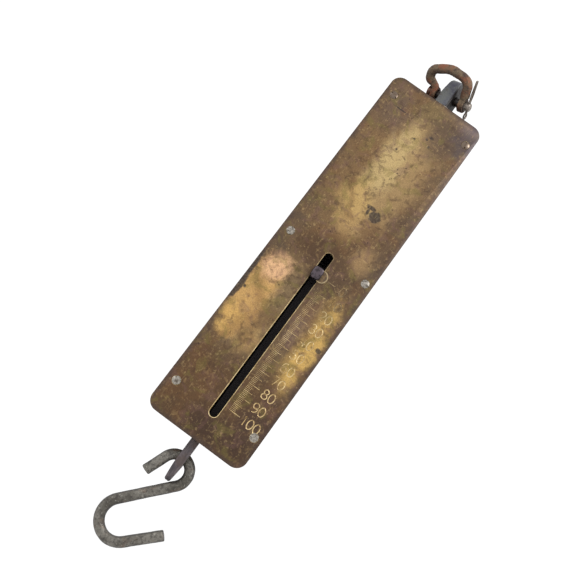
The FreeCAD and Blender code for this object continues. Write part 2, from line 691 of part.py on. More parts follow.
def s_hook():
    """A bar bent into an S: a small upper bend through the drawbar's eye and a wide lower one."""
    upper = V(0, 0, HOOK_Z)
    lower = upper + V(HOOK_LOW_X, 0, HOOK_LOW_Z)
    span = math.hypot(HOOK_LOW_X, HOOK_LOW_Z)
    across = math.degrees(math.atan2(HOOK_LOW_Z, HOOK_LOW_X))
    lean = math.degrees(math.asin((HOOK_TOP_BEND + HOOK_LOW_BEND) / span))
    shank_direction = across - lean
    upper_join = shank_direction + 90
    lower_join = shank_direction - 90
    top_arc = bend(upper, HOOK_TOP_BEND, HOOK_TOP_LEAVE, upper_join)
    low_arc = bend(lower, HOOK_LOW_BEND, lower_join + 360, HOOK_LOW_LEAVE + 360)
    top_start = top_arc.valueAt(top_arc.FirstParameter)
    top_end = top_arc.valueAt(top_arc.LastParameter)
    low_start = low_arc.valueAt(low_arc.FirstParameter)
    low_end = low_arc.valueAt(low_arc.LastParameter)
    tail_turn = math.radians(HOOK_TOP_LEAVE + 90)
    tail_tip = top_start + V(math.cos(tail_turn), 0, math.sin(tail_turn)) * HOOK_TOP_TAIL
    low_turn = math.radians(HOOK_LOW_LEAVE + 90)
    low_tip = low_end + V(math.cos(low_turn), 0, math.sin(low_turn)) * HOOK_LOW_TAIL
    edges = [Part.makeLine(tail_tip, top_start), top_arc, Part.makeLine(top_end, low_start), low_arc,
             Part.makeLine(low_end, low_tip)]
    bar = swept_bar(edges, HOOK_WIRE)
    rims = []
    for tip in (tail_tip, low_tip):
        rims += [e for e in bar.Edges if e.Closed and (e.CenterOfMass - tip).Length < HOOK_END_ROUND / 2]
    return bar.makeFillet(HOOK_END_ROUND, rims)


# Whole scale --------------------------------------------------------------------------------------

def hanging_point():
    """The inside of the shackle's crown, where the supporting hook bears."""
    edges = rounded_route(V(FOOT_AT, 0, 0), BOW_CORNERS, V(-FOOT_AT, 0, 0))
    highest = max(edge.BoundBox.ZMax for edge in edges)
    crown = [edge for edge in edges if edge.BoundBox.ZMax == highest][0]
    middle = crown.valueAt((crown.FirstParameter + crown.LastParameter) / 2)
    return on_shackle(Part.Vertex(V(middle.x, 0, highest - WIRE))).Point


def all_nodes():
    """Every physical piece of the scale, by the name of its node."""
    return {
        "shackle_bow": shackle_bow(),
        "shackle_pin": shackle_pin(),
        "cotter_pin": cotter_pin(),
        "swivel_eye": swivel_eye(),
        "swivel_collar": swivel_collar(),
        "collar_pin": collar_pin(),
        "swivel_washer": swivel_washer(),
        "front_plate": front_plate(),
        "face_screws": Part.makeCompound(face_screws()),
        "back_plate": back_plate(),
        "back_screws": Part.makeCompound(back_screws()),
        "left_rail": side_rail(SCREW_X[0]),
        "right_rail": side_rail(SCREW_X[1]),
        "top_block": top_block(),
        "left_hanger": spring_hanger(-1),
        "right_hanger": spring_hanger(1),
        "hanger_pins": Part.makeCompound(hanger_pins()),
        "bottom_block": bottom_block(),
        "guide_bush": guide_bush(),
        "left_spring": extension_spring(-1),
        "right_spring": extension_spring(1),
        "crosshead": crosshead(),
        "drawbar": drawbar(),
        "drawbar_rivets": Part.makeCompound(drawbar_rivets(0.0)),
        "pointer": pointer(),
        "pointer_index": pointer_index(),
        "s_hook": s_hook(),
    }


def main():
    """Writes each piece to its own STEP file."""
    os.makedirs("parts", exist_ok=True)
    shift = hanging_point() * -1
    print("pin centre", shift, "spring coils", COIL_COUNT, "coil radius", round(COIL_RADIUS, 3))
    for name, shape in all_nodes().items():
        shape.translate(shift)
        solids = shape.Solids
        print(f"{name:16s} solids {len(solids)} valid {shape.isValid()} volume {shape.Volume:10.1f}")
        shape.exportStep(f"parts/{name}.step")


main()
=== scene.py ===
import json
import math

import bmesh
import bpy
from mathutils import Matrix, Vector, noise


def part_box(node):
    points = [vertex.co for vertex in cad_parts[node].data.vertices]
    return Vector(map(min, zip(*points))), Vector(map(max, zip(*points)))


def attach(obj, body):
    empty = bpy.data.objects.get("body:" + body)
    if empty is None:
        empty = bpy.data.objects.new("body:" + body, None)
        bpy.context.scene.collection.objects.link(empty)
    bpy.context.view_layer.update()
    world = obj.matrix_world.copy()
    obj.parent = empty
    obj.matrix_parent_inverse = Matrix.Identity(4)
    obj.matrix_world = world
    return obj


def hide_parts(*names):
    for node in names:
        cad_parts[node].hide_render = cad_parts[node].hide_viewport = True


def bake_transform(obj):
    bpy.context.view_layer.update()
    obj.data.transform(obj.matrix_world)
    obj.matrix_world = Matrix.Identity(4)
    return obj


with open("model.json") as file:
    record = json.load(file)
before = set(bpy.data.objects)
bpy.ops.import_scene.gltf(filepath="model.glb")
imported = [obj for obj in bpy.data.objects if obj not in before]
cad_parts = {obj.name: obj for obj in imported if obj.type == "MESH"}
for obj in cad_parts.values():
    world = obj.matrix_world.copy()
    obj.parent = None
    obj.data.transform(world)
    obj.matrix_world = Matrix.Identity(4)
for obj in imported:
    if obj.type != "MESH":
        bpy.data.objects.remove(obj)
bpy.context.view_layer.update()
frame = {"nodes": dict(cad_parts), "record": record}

# Looks of a hanging spring scale: an aged brass face with cut graduations, a rusty shackle, a slate
# steel swivel, a worn S-hook and the springs and iron frame inside. Everything is in metres.

MM = 0.001


def middle_of(node):
    """The middle of a CAD node's box."""
    low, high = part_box(node)
    return (low + high) / 2


FACE_LOW, FACE_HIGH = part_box("front_plate")
FACE_MIDDLE = middle_of("front_plate")
ZERO = middle_of("pointer")            # the pointer stands at the zero line
HINGE = next(joint for joint in frame["record"]["behaviour"]["joints"] if joint["name"] == "shackle_fold")

# Camera, from the middle of the face: a little to its right, level with its lower edge.
CAMERA_OFFSET = Vector((22.3, -484.8, -137.6)) * MM
CAMERA_TURN = math.radians(3.34)       # to the left of straight ahead
CAMERA_LIFT = math.radians(12.71)      # upward
CAMERA_ROLL = math.radians(36.76)
CAMERA_LENS = 49.47                    # on a 36 mm sensor

# Graduations, measured from the face's left edge and from the zero line.
SCALE_STEP = 1.0 * MM
SCALE_UNITS = 100
TICK_START = 42.6 * MM
TICKS = {1: (46.4 * MM, 0.11 * MM), 5: (48.8 * MM, 0.17 * MM), 10: (50.6 * MM, 0.19 * MM)}
NUMERAL_HEIGHT = 6.1 * MM
NUMERAL_WIDTH = 3.7 * MM
NUMERAL_STROKE = 0.34 * MM
NUMERAL_PLACES = {1: (56.6 * MM,), 2: (55.0 * MM, 59.7 * MM), 3: (54.2 * MM, 58.3 * MM, 63.0 * MM)}
LEAF_SHIFT = 3.6                       # the leaf's middle lies this many mm to the pointer's right
LEAF_RADIUS = 4.3                      # mm
SLOT_WIDTH = 5.9 * MM
SLOT_ABOVE_ZERO = 16.1 * MM
SLOT_BELOW_ZERO = 109.7 * MM
SLOT_CHAMFER = 0.45 * MM
SLOT_CUT_DEPTH = 4 * MM
FACE_CORNER = 7.2 * MM
FACE_EDGE = 0.35 * MM
CORNER_STEPS = 10
SCREW_HEAD_RADIUS = 2.75 * MM
SCREW_HOLE_RADIUS = 1.66 * MM
SCREW_SINK = (1.65 * MM, 3.75 * MM, 2.4 * MM, 0.35 * MM)   # small and large radius, depth, shift inward
SCREW_DRILL_DEPTH = 6 * MM
HOLE_SIDES = 32
APART = 1e-6                           # points closer than this become one, so arcs stay this far apart
FLAT_WITHIN = math.radians(0.5)        # faces that meet at less than this are one face
BEVEL_ABOVE = math.radians(40)         # edges sharper than this are rounded
BEVEL_SEGMENTS = 2

# Where a finish or a painted shade changes: mm below the face's top, or metres along the shackle pin from its
# middle.
CUTS_DULL_ABOVE, CUTS_BRIGHT_BELOW = 152, 172
SCREWS_BROWN_ABOVE, SCREWS_BRIGHT_BELOW = 60, 90
COOL_CORNER = ((67, 9), (12, 16))      # middle and half size in mm
PIN_WORN = (12 * MM, 13.5 * MM)
PIN_RUSTY = (-9 * MM, -11 * MM)
SWIVEL_SHADED = (3.4 * MM, 4.6 * MM)

# Springs: one wire, drawn as a loop, close coils and a loop.
SPRING_WIRE = 2.35 * MM
SPRING_LOOP = 6.0 * MM                 # radius of an end loop
SPRING_PITCH = 1.02                    # turn to turn, in wires
LOOP_SPREAD = 138                      # degrees that an end loop reaches to each side of its top
LOOP_STEPS = 12
TURN_STEPS = 28
WIRE_SIDES = 10

# Studio: offset from the face's middle in metres, size in metres, power in watts.
LIGHTS = (("key", (0.55, -0.60, 0.75), 0.35, 9.0), ("fill", (-0.8, -0.6, 0.2), 0.8, 3.0))
WORLD_LIGHT = 1.08
STUDIO_LIGHT = 1.35                    # how much brighter a white surface is than its own colour
FLOOR_BELOW = 0.6


# Node helpers ---------------------------------------------------------------------------------------

class Surface:
    """A principled material whose colour, roughness and bump are built from small node steps."""

    def __init__(self, name):
        self.material = bpy.data.materials.new(name)
        self.material.use_nodes = True
        self.tree = self.material.node_tree
        self.shader = self.tree.nodes["Principled BSDF"]
        coordinates = self.add("ShaderNodeTexCoord")
        self.place = coordinates.outputs["Object"]
        self.normal = coordinates.outputs["Normal"]
        self.x, self.y, self.z = self.split(self.place)

    def add(self, kind, **settings):
        """A new node with its settings."""
        node = self.tree.nodes.new(kind)
        for key, value in settings.items():
            setattr(node, key, value)
        return node

    def feed(self, socket, value):
        """Links a socket, or sets it when value is a number or a colour."""
        if isinstance(value, bpy.types.NodeSocket):
            self.tree.links.new(value, socket)
        elif isinstance(value, tuple) and len(value) == 3 and socket.type == "RGBA":
            socket.default_value = (*value, 1.0)
        else:
            socket.default_value = value

    def split(self, vector):
        """The three parts of a vector."""
        node = self.add("ShaderNodeSeparateXYZ")
        self.feed(node.inputs[0], vector)
        return node.outputs

    def math(self, operation, first, second=0.0, third=0.0):
        """The result of one sum."""
        node = self.add("ShaderNodeMath", operation=operation)
        for socket, value in zip(node.inputs, (first, second, third)):
            self.feed(socket, value)
        return node.outputs[0]

    def noise(self, scale, detail=4.0, roughness=0.55, distortion=0.0, place=None):
        """Smooth noise around 0.5; scale counts its cells in a metre."""
        node = self.add("ShaderNodeTexNoise")
        self.feed(node.inputs["Vector"], place or self.place)
        settings = {"Scale": scale, "Detail": detail, "Roughness": roughness, "Distortion": distortion}
        for key, value in settings.items():
            node.inputs[key].default_value = value
        return node.outputs["Fac"]

    def cells(self, scale):
        """How far each point lies from the nearest of many scattered dots."""
        node = self.add("ShaderNodeTexVoronoi", feature="F1")
        self.feed(node.inputs["Vector"], self.place)
        node.inputs["Scale"].default_value = scale
        return node.outputs["Distance"]

    def stretched(self, scale):
        """Object coordinates stretched along each axis, for brushed or streaked marks."""
        node = self.add("ShaderNodeMapping")
        self.feed(node.inputs["Vector"], self.place)
        node.inputs["Scale"].default_value = scale
        return node.outputs["Vector"]

    def band(self, value, low, high):
        """0 below low, 1 above high, smooth between. low may be the larger, to turn it round."""
        node = self.add("ShaderNodeMapRange", interpolation_type="SMOOTHSTEP")
        for socket, number in zip(node.inputs, (value, low, high)):
            self.feed(socket, number)
        return node.outputs["Result"]

    def mix(self, factor, first, second):
        """The first colour where factor is 0, the second where it is 1."""
        node = self.add("ShaderNodeMix", data_type="RGBA", blend_type="MIX")
        self.feed(node.inputs["Factor"], factor)
        self.feed(node.inputs["A"], first)
        self.feed(node.inputs["B"], second)
        return node.outputs["Result"]

    def marked(self, tone, value, low, high, strength, mark):
        """The tone with a mark laid over it where value passes from low to high."""
        return self.mix(self.math("MULTIPLY", self.band(value, low, high), strength), tone, mark)

    def grimed(self, tone, shadow_tone, strength):
        """Painted shade: darkens the flanks, the faces turned sideways, and leaves what faces front or back as
        it is.
        """
        facing_front = self.math("ABSOLUTE", self.split(self.normal)["Y"])
        ragged = self.math("MULTIPLY_ADD", self.noise(260, 5, 0.65), 0.6, -0.3)
        return self.marked(tone, self.math("ADD", facing_front, ragged), 0.80, 0.25, strength, shadow_tone)

    def finish(self, colour, roughness, metallic, height=None, strength=0.3, distance=0.2 * MM):
        """Links the colour, roughness and bump to the shader and returns the material."""
        self.feed(self.shader.inputs["Base Color"], colour)
        self.feed(self.shader.inputs["Roughness"], roughness)
        self.feed(self.shader.inputs["Metallic"], metallic)
        if height is not None:
            bump = self.add("ShaderNodeBump")
            bump.inputs["Strength"].default_value = strength
            bump.inputs["Distance"].default_value = distance
            self.feed(bump.inputs["Height"], height)
            self.feed(self.shader.inputs["Normal"], bump.outputs["Normal"])
        return self.material


def shade(red, green, blue):
    """A finish that looks like this display colour, 0 to 255, under the studio light."""
    def linear(value):
        value /= 255
        value = value / 12.92 if value <= 0.04045 else ((value + 0.055) / 1.055) ** 2.4
        return value / STUDIO_LIGHT
    return (linear(red), linear(green), linear(blue))


# Materials ------------------------------------------------------------------------------------------

def face_point(across, down):
    """A point of the face, in millimetres from its left and top edges."""
    return Vector((FACE_LOW.x + across * MM, FACE_LOW.y, FACE_HIGH.z - down * MM))


# Tones of the face, dark patina and bright places that are partly polished brass and partly painted
# reflection: middle (across, down) and half size in mm, softness of the rim, strength, colour.
FACE_PATINA_AND_REFLECTIONS = (
    ((30, 62), (28, 66), 0.55, 1.00, (128, 99, 64)),
    ((40, 60), (16, 46), 0.40, 0.95, (160, 131, 88)),
    ((32, 56), (9, 30), 0.45, 0.85, (196, 170, 116)),
    ((28, 92), (10, 14), 0.45, 0.80, (198, 164, 102)),
    ((33, 108), (7, 8), 0.60, 0.60, (180, 146, 94)),
    ((55, 122), (7, 9), 0.60, 0.75, (164, 132, 90)),
    ((30, 132), (18, 11), 0.50, 0.90, (84, 60, 38)),
    ((47, 143), (14, 10), 0.70, 0.85, (88, 66, 46)),
    ((66, 92), (8, 22), 0.70, 0.70, (88, 66, 46)),
    ((14, 22), (13, 15), 0.60, 0.70, (104, 84, 70)),
    ((35, 10), (13, 9), 0.60, 0.70, (110, 92, 58)),
    ((50, 20), (10, 16), 0.60, 0.75, (84, 66, 54)),
    ((21, 186), (14, 34), 0.40, 0.95, (140, 114, 76)),
    ((12, 182), (11.0, 31), 0.24, 1.00, (206, 163, 100)),
    ((9, 200), (7, 13), 0.45, 0.80, (218, 174, 100)),
    ((14, 157), (8, 9), 0.50, 0.95, (236, 188, 142)),
    ((26, 205), (7, 9), 0.60, 0.75, (184, 148, 94)),
    ((27, 170), (5, 16), 0.60, 0.60, (124, 104, 76)),
    ((58, 187), (8.5, 32), 0.35, 1.00, (160, 128, 76)),
    ((61, 190), (5.5, 30), 0.35, 0.95, (214, 174, 98)),
    ((47, 180), (5, 18), 0.60, 0.70, (128, 102, 84)),
    ((33, 246), (50, 31), 0.35, 1.00, (96, 70, 44)),
    ((62, 248), (12, 16), 0.70, 0.80, (72, 52, 42)),
    ((40, 262), (28, 9), 0.70, 0.80, (66, 46, 34)),
    ((15, 258), (10, 12), 0.70, 0.60, (96, 70, 42)),
)

# Dark marks on the face: middle and half size in mm, softness of the rim.
FACE_STAINS = (
    ((44.7, 93.0), (4.1, 3.9), 0.16),
    ((39.6, 89.0), (3.2, 1.5), 0.30),
    ((39.0, 92.5), (1.0, 2.6), 0.40),
    ((65.5, 185.2), (1.9, 1.6), 0.30),
    ((45.8, 31.3), (0.9, 0.9), 0.50),
    ((42.0, 27.5), (1.0, 0.8), 0.50),
    ((35.0, 32.1), (0.9, 0.7), 0.50),
    ((44.0, 25.0), (1.7, 1.0), 0.50),
    ((29.7, 45.6), (0.8, 0.8), 0.30),
    ((16.5, 20.5), (5.0, 0.5), 0.60),
    ((1.0, 180.0), (2.9, 10.0), 0.16),
    ((1.0, 168.0), (1.8, 16.0), 0.20),
    ((4.8, 179.0), (0.9, 1.0), 0.40),
)


def ellipse(surface, where, size):
    """How far each point of the face lies from a spot, in half sizes of the spot."""
    centre = face_point(*where)
    across = surface.math("DIVIDE", surface.math("SUBTRACT", surface.x, centre.x), size[0] * MM)
    along = surface.math("DIVIDE", surface.math("SUBTRACT", surface.z, centre.z), size[1] * MM)
    across_squared = surface.math("MULTIPLY", across, across)
    along_squared = surface.math("MULTIPLY", along, along)
    return surface.math("SQRT", surface.math("ADD", across_squared, along_squared))


def centred(surface, value, amount):
    """A noise value turned into a swing of plus or minus half of amount."""
    return surface.math("MULTIPLY", surface.math("SUBTRACT", value, 0.5), amount)


def brass_tones(surface):
    """The face's colours: brown patina with bright places, partly polished brass and partly painted
    reflection.
    """
    ragged = centred(surface, surface.noise(70, 7, 0.68, 0.6), 1.7)
    clouds = surface.band(surface.noise(60, 5, 0.6), 0.35, 0.65)
    tone = surface.mix(clouds, shade(92, 74, 56), shade(112, 88, 60))
    # The bright tones are partly painted reflection.
    for where, size, soft, strength, tint in FACE_PATINA_AND_REFLECTIONS:
        reach = surface.math("ADD", ellipse(surface, where, size), ragged)
        tone = surface.marked(tone, reach, 1.0 + soft, 1.0 - soft, strength, shade(*tint))
    return tone


def mottled(surface, tone):
    """Olive, mauve and reddish clouds, brown speckle and a fine grain over the face's tones."""
    layers = (
        (surface.noise(38, 3, 0.50, 0.8), 0.50, 0.62, 0.42, (112, 78, 46)),
        (surface.noise(85, 4, 0.55, 0.8), 0.52, 0.64, 0.42, (122, 110, 52)),
        (surface.noise(120, 4, 0.55, 0.8), 0.53, 0.64, 0.36, (116, 84, 76)),
        (surface.noise(210, 5, 0.60, 0.6), 0.52, 0.66, 0.50, (72, 50, 34)),
        (surface.noise(330, 5, 0.62, 0.4), 0.54, 0.68, 0.30, (172, 140, 92)),
        (surface.noise(520, 4, 0.60, 0.3), 0.58, 0.68, 0.22, (226, 194, 134)),
        (surface.noise(1400, 3, 0.70), 0.42, 0.62, 0.30, (60, 44, 32)),
    )
    for value, low, high, strength, tint in layers:
        tone = surface.marked(tone, value, low, high, strength, shade(*tint))
    return tone


def face_rim(surface):
    """1 along the face's rim, fading inward over a few ragged millimetres."""
    half = (FACE_HIGH - FACE_LOW) / 2
    across = surface.math("ABSOLUTE", surface.math("SUBTRACT", surface.x, FACE_MIDDLE.x))
    along = surface.math("ABSOLUTE", surface.math("SUBTRACT", surface.z, FACE_MIDDLE.z))
    beside = surface.math("SUBTRACT", across, half.x)
    above = surface.math("SUBTRACT", along, half.z)
    inset = surface.math("MAXIMUM", beside, above)
    ragged = centred(surface, surface.noise(140, 6, 0.7), 9 * MM)
    return surface.band(surface.math("ADD", inset, ragged), -4.0 * MM, 0.2 * MM)


def face_stains(surface):
    """1 on the face's dark marks, with ragged rims."""
    wobble = centred(surface, surface.noise(420, 5, 0.65), 1.1)
    marks = 0.0
    for where, size, soft in FACE_STAINS:
        reach = surface.math("ADD", ellipse(surface, where, size), wobble)
        marks = surface.math("MAXIMUM", surface.band(reach, 1.0 + soft, 1.0 - soft), marks)
    return marks


def face_pits(surface):
    """1 in small pits that lie in clusters."""
    pits = surface.band(surface.cells(240), 0.20, 0.06)
    clusters = surface.band(surface.noise(60, 4), 0.50, 0.62)
    return surface.math("MULTIPLY", pits, clusters)


def scratched(surface, tone):
    """Pale scratches along the face and dark ones across it."""
    for scale, tint in (((1500, 1500, 150), (206, 178, 122)), ((170, 1500, 1400), (70, 54, 40))):
        streaks = surface.noise(1.0, 3, 0.6, 0.3, surface.stretched(scale))
        tone = surface.marked(tone, streaks, 0.60, 0.76, 0.28, shade(*tint))
    return tone


def brass_face_material():
    """The aged brass sheet: patina, polished places with painted reflections, a dark rim, a cool corner, pits,
    stains, scratches.
    """
    surface = Surface("aged_brass_face")
    tone = mottled(surface, brass_tones(surface))
    tone = surface.mix(surface.math("MULTIPLY", face_rim(surface), 0.85), tone, shade(72, 56, 48))
    ragged = centred(surface, surface.noise(110, 5), 1.2)
    corner = surface.math("ADD", ellipse(surface, *COOL_CORNER), ragged)
    tone = surface.marked(tone, corner, 1.4, 0.5, 0.60, shade(74, 68, 76))
    spots = face_pits(surface)
    tone = surface.mix(surface.math("MULTIPLY", spots, 0.75), tone, shade(58, 42, 32))
    marks = face_stains(surface)
    crust = surface.mix(surface.band(surface.noise(700, 4), 0.4, 0.65), shade(48, 38, 34), shade(84, 72, 60))
    tone = surface.mix(surface.math("MULTIPLY", marks, 0.88), tone, crust)
    tone = scratched(surface, tone)
    roughness = surface.math("MULTIPLY_ADD", surface.noise(180, 6, 0.75), 0.40, 0.28)
    dips = surface.math("MULTIPLY", surface.math("ADD", spots, marks), 1.4)
    height = surface.math("SUBTRACT", surface.noise(300, 7, 0.75), dips)
    return surface.finish(tone, roughness, 0.6, height, 0.45, 0.12 * MM)


def bright_brass_material():
    """Brass that a cutter laid bare: engraved lines and the slot's rim, dulled near the zero line."""
    surface = Surface("bright_brass")
    clouds = surface.band(surface.noise(260, 5), 0.40, 0.62)
    tone = surface.mix(clouds, shade(236, 212, 160), shade(190, 162, 112))
    dull = surface.band(surface.z, face_point(0, CUTS_BRIGHT_BELOW).z, face_point(0, CUTS_DULL_ABOVE).z)
    ragged = surface.band(surface.noise(150, 5, 0.7), 0.40, 0.60)
    cover = surface.math("MULTIPLY", dull, surface.math("MULTIPLY_ADD", ragged, 0.45, 0.40))
    tone = surface.mix(cover, tone, shade(104, 82, 58))
    return surface.finish(tone, 0.38, 0.4, surface.noise(500, 3), 0.2, 0.05 * MM)


def leaf_material():
    """The pointer's thin leaf: dull brass with a painted highlight round its rim."""
    surface = Surface("index_leaf")
    middle = ((ZERO.x - FACE_LOW.x) / MM + LEAF_SHIFT, (FACE_HIGH.z - ZERO.z) / MM)
    reach = ellipse(surface, middle, (LEAF_RADIUS, LEAF_RADIUS))
    wear_and_highlight = surface.math("ADD", reach, centred(surface, surface.noise(420, 4), 0.25))
    mottle = surface.band(surface.noise(600, 4), 0.40, 0.60)
    dull = surface.mix(mottle, shade(118, 94, 62), shade(88, 70, 50))
    # Painted highlight: the rim of the leaf is pale.
    tone = surface.mix(surface.band(wear_and_highlight, 0.74, 0.94), dull, shade(168, 148, 112))
    return surface.finish(tone, 0.45, 0.4, surface.noise(700, 4), 0.3, 0.06 * MM)


def rust_material():
    """Rusty wrought iron, ochre where it was handled, dark in patches, with painted shade on its flanks."""
    surface = Surface("rusty_iron")
    large = surface.noise(90, 6, 0.65, 0.3)
    small = surface.noise(420, 6, 0.7)
    tone = surface.mix(surface.band(large, 0.40, 0.60), shade(128, 74, 46), shade(110, 92, 68))
    tone = surface.mix(surface.band(surface.noise(150, 4, 0.6), 0.52, 0.64), tone, shade(72, 50, 38))
    tone = surface.marked(tone, small, 0.48, 0.66, 0.7, shade(58, 42, 36))
    tone = surface.marked(tone, surface.noise(800, 4, 0.7), 0.58, 0.70, 0.5, shade(170, 140, 108))
    # Painted shade: the flanks turn darker.
    tone = surface.grimed(tone, shade(52, 38, 32), 0.6)
    roughness = surface.math("MULTIPLY_ADD", small, 0.3, 0.55)
    return surface.finish(tone, roughness, 0.2, surface.math("ADD", small, large), 0.8, 0.3 * MM)


def along_pin(surface):
    """How far each point lies from the middle of the shackle pin, along it."""
    place, axis = Vector(HINGE["pos_m"]), Vector(HINGE["axis"])
    east = surface.math("MULTIPLY", surface.math("SUBTRACT", surface.x, place.x), axis.x)
    north = surface.math("MULTIPLY", surface.math("SUBTRACT", surface.y, place.y), axis.y)
    return surface.math("ADD", east, north)


def pin_material():
    """Painted shadow on the pin between the shackle's feet, worn steel where the pin stands free, a rusty
    head.
    """
    surface = Surface("shackle_pin_steel")
    small = surface.noise(700, 5, 0.7)
    wear_and_highlight = surface.mix(surface.band(small, 0.40, 0.62), shade(150, 140, 130), shade(92, 82, 74))
    # Painted shadow: the pin turns near black where it lies between the feet.
    shadowed = surface.mix(surface.band(small, 0.40, 0.62), shade(48, 36, 30), shade(28, 22, 20))
    rusty = surface.mix(surface.band(small, 0.40, 0.62), shade(104, 62, 42), shade(70, 46, 36))
    along = along_pin(surface)
    tone = surface.mix(surface.band(along, *PIN_WORN), shadowed, wear_and_highlight)
    tone = surface.mix(surface.band(along, *PIN_RUSTY), tone, rusty)
    return surface.finish(tone, surface.math("MULTIPLY_ADD", small, 0.25, 0.35), 0.4, small, 0.4, 0.1 * MM)


def slate_steel_material():
    """The swivel's slate-coloured steel; its flank beside the pin is painted near black as shade."""
    surface = Surface("slate_steel")
    large = surface.noise(110, 5, 0.6)
    small = surface.noise(600, 5, 0.7)
    tone = surface.mix(surface.band(large, 0.35, 0.65), shade(78, 78, 92), shade(104, 106, 104))
    tone = surface.mix(surface.band(small, 0.6, 0.75), tone, shade(150, 146, 138))
    tone = surface.mix(surface.band(surface.noise(200, 4), 0.62, 0.74), tone, shade(70, 48, 38))
    ragged = centred(surface, surface.noise(500, 4), 1.2 * MM)
    # Painted shade: the flank beside the pin turns near black.
    flank = surface.band(surface.math("ADD", along_pin(surface), ragged), *SWIVEL_SHADED)
    tone = surface.mix(flank, tone, shade(34, 27, 26))
    return surface.finish(tone, surface.math("MULTIPLY_ADD", small, 0.3, 0.45), 0.25, small, 0.45, 0.15 * MM)


def hook_steel_material():
    """Grey forged steel, pitted and browned, its flanks darkened by painted shade."""
    surface = Surface("hook_steel")
    large = surface.noise(80, 5, 0.6)
    small = surface.noise(500, 6, 0.7)
    tone = surface.mix(surface.band(large, 0.40, 0.60), shade(122, 118, 110), shade(80, 76, 68))
    tone = surface.marked(tone, surface.noise(130, 5), 0.54, 0.66, 0.45, shade(100, 76, 56))
    tone = surface.marked(tone, small, 0.48, 0.62, 0.7, shade(54, 50, 48))
    tone = surface.marked(tone, surface.noise(900, 3), 0.60, 0.70, 0.45, shade(190, 186, 176))
    # Painted shade: the flanks turn darker.
    tone = surface.grimed(tone, shade(58, 56, 56), 0.75)
    return surface.finish(tone, surface.math("MULTIPLY_ADD", small, 0.3, 0.4), 0.5, small, 0.5, 0.15 * MM)


def drawbar_material():
    """Brown-black steel, painted near black as shade where it stays inside the case."""
    surface = Surface("drawbar_steel")
    along = surface.noise(1.0, 5, 0.65, 0, surface.stretched((500, 500, 90)))
    tone = surface.mix(surface.band(along, 0.40, 0.60), shade(88, 78, 80), shade(56, 50, 54))
    tone = surface.marked(tone, surface.noise(160, 5), 0.55, 0.66, 0.6, shade(70, 54, 46))
    # Painted shade: near black above the face's lower edge, inside the case.
    shaded_inside = surface.band(surface.z, FACE_LOW.z - 1 * MM, FACE_LOW.z + 2 * MM)
    tone = surface.mix(shaded_inside, tone, shade(27, 22, 24))
    roughness = surface.math("MULTIPLY_ADD", shaded_inside, 0.40, 0.5)
    return surface.finish(tone, roughness, 0.15, along, 0.4, 0.1 * MM)


def dark_frame_material():
    """Blackened iron of the case: rails, blocks and inner parts, rusting in places."""
    surface = Surface("blackened_iron")
    large = surface.noise(45, 6, 0.6, 0.3)
    small = surface.noise(480, 6, 0.7)
    tone = surface.mix(surface.band(large, 0.35, 0.7), shade(44, 40, 42), shade(66, 56, 52))
    tone = surface.mix(surface.band(surface.noise(95, 6, 0.7), 0.6, 0.72), tone, shade(104, 66, 42))
    tone = surface.marked(tone, small, 0.6, 0.72, 0.4, shade(112, 104, 98))
    return surface.finish(tone, surface.math("MULTIPLY_ADD", small, 0.25, 0.55), 0.35, small, 0.5, 0.15 * MM)


def worn_steel_material(name, light, dark):
    """Small steel parts: two greys of wear with a little rust."""
    surface = Surface(name)
    small = surface.noise(700, 5, 0.7)
    tone = surface.mix(surface.band(surface.noise(260, 4), 0.38, 0.62), light, dark)
    tone = surface.marked(tone, small, 0.62, 0.72, 0.6, shade(70, 52, 42))
    return surface.finish(tone, surface.math("MULTIPLY_ADD", small, 0.25, 0.28), 0.75, small, 0.3, 0.08 * MM)


def screw_material():
    """Bright slotted screws; the upper pair has kept its brown patina."""
    surface = Surface("screw_steel")
    low, high = face_point(0, SCREWS_BRIGHT_BELOW), face_point(0, SCREWS_BROWN_ABOVE)
    upper = surface.band(surface.z, low.z, high.z)
    small = surface.noise(650, 5, 0.7)
    tone = surface.mix(surface.band(small, 0.4, 0.65), shade(176, 170, 160), shade(96, 86, 76))
    tone = surface.mix(surface.math("MULTIPLY", upper, 0.8), tone, shade(108, 88, 72))
    return surface.finish(tone, 0.3, 0.8, small, 0.3, 0.08 * MM)


def spring_material():
    """Oiled dark spring wire."""
    surface = Surface("spring_steel")
    tone = surface.mix(surface.band(surface.noise(240, 5), 0.4, 0.65), shade(56, 54, 60), shade(36, 32, 34))
    return surface.finish(tone, 0.38, 0.6, surface.noise(900, 3), 0.2, 0.05 * MM)


def floor_material():
    """Almost white, with a trace of cloud."""
    surface = Surface("pale_floor")
    tone = surface.mix(surface.noise(3, 3), (0.97, 0.97, 0.97), (0.94, 0.94, 0.94))
    return surface.finish(tone, 0.9, 0.0)


# Mesh helpers ---------------------------------------------------------------------------------------

def new_object(name, mesh):
    """An object for a mesh, curve, lamp or camera, put into the scene."""
    thing = bpy.data.objects.new(name, mesh)
    bpy.context.scene.collection.objects.link(thing)
    return thing


def applied(thing):
    """Replaces an object's mesh by what its modifiers make of it."""
    bpy.context.view_layer.update()
    seen = thing.evaluated_get(bpy.context.evaluated_depsgraph_get())
    mesh = bpy.data.meshes.new_from_object(seen)
    old = thing.data
    thing.modifiers.clear()
    thing.data = mesh
    bpy.data.meshes.remove(old)
    return thing


def shade_by_angle(mesh, degrees):
    """Smooth shading, broken where faces meet at more than this angle."""
    mesh.shade_smooth()
    mesh.set_sharp_from_angle(angle=math.radians(degrees))


